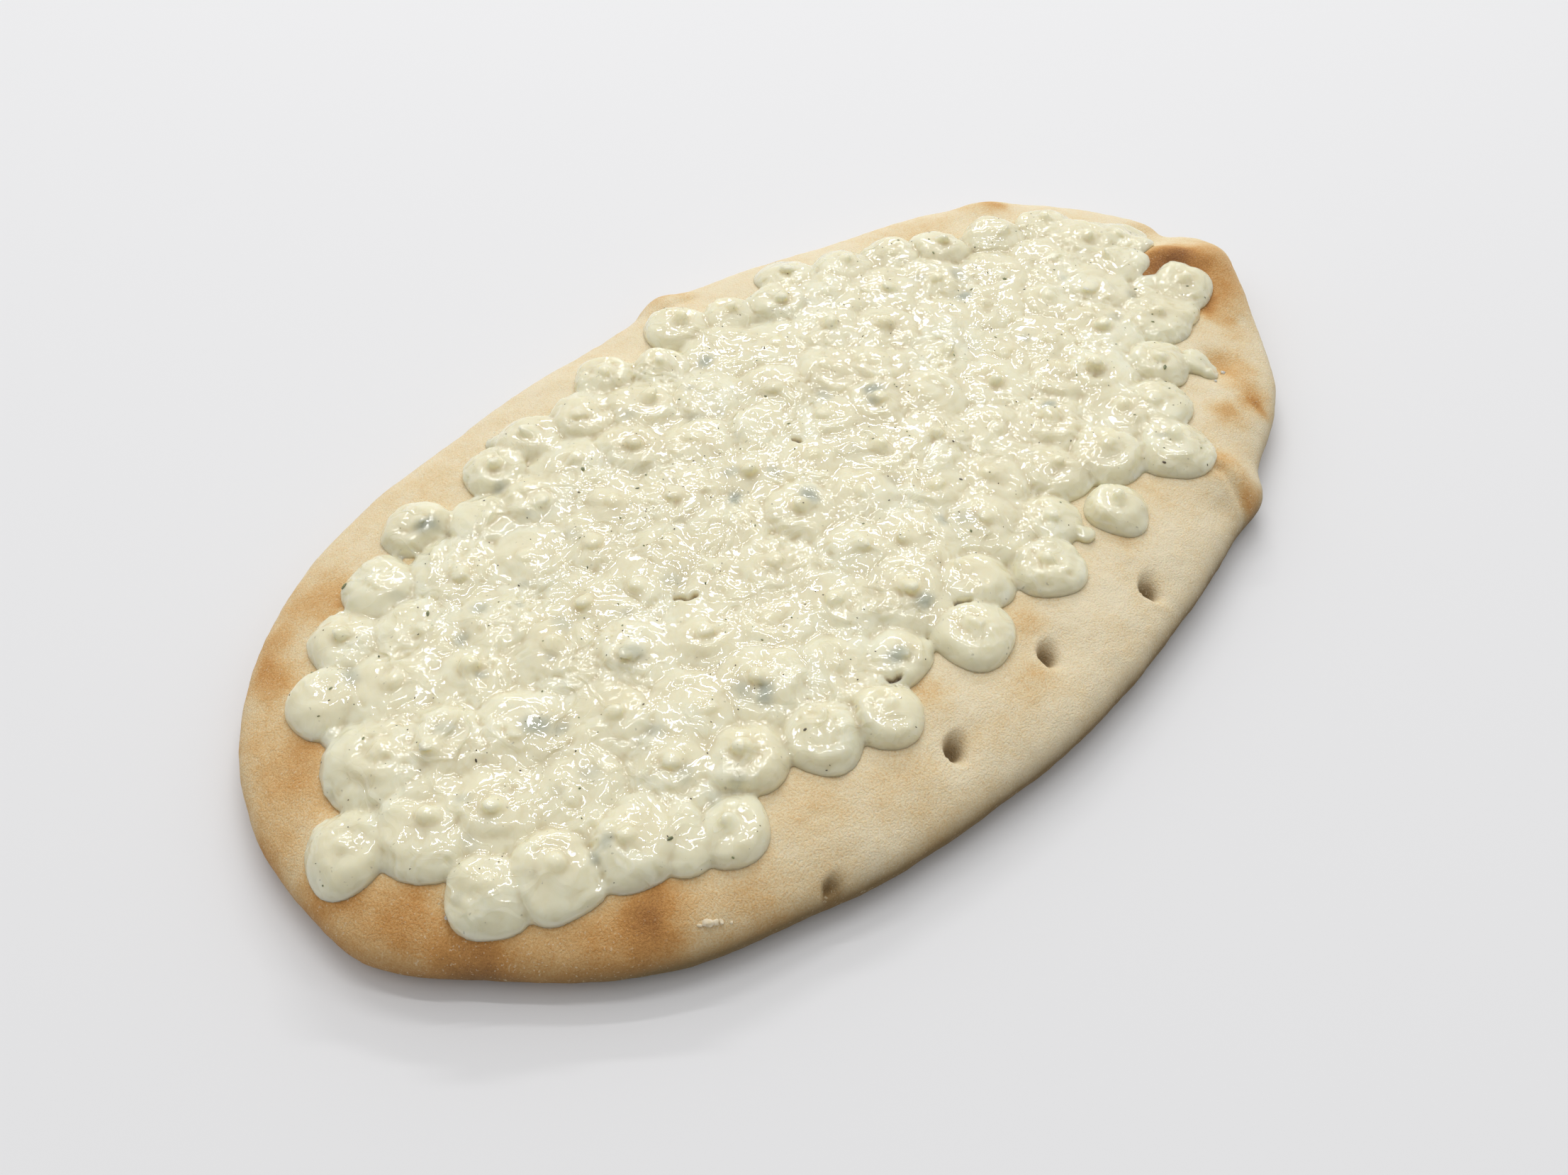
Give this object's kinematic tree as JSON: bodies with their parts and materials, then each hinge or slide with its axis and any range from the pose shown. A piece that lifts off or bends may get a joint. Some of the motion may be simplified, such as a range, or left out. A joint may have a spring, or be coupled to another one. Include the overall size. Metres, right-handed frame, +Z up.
{
  "type": "pita bread spread with cream",
  "caption": "Oval flat pita loaf with a puffed, blistered crown and pricked holes, its top covered with piped dollops of herb and cucumber cream that run together.",
  "frame": {"origin": "on the table under the middle of the loaf, at the centre of its flat underside's box", "axes": "+X along the loaf's length, +Y across it, +Z up"},
  "size_m": [0.2686, 0.1522, 0.02],
  "materials": {
    "bread": "dry, pale baked crust with toasted spots",
    "cream": "wet, off-white cream with herb specks"
  },
  "bodies": {
    "root": {"bread": "bread", "cream_spread": "cream", "cream_dollop": "cream"}
  },
  "joints": []
}
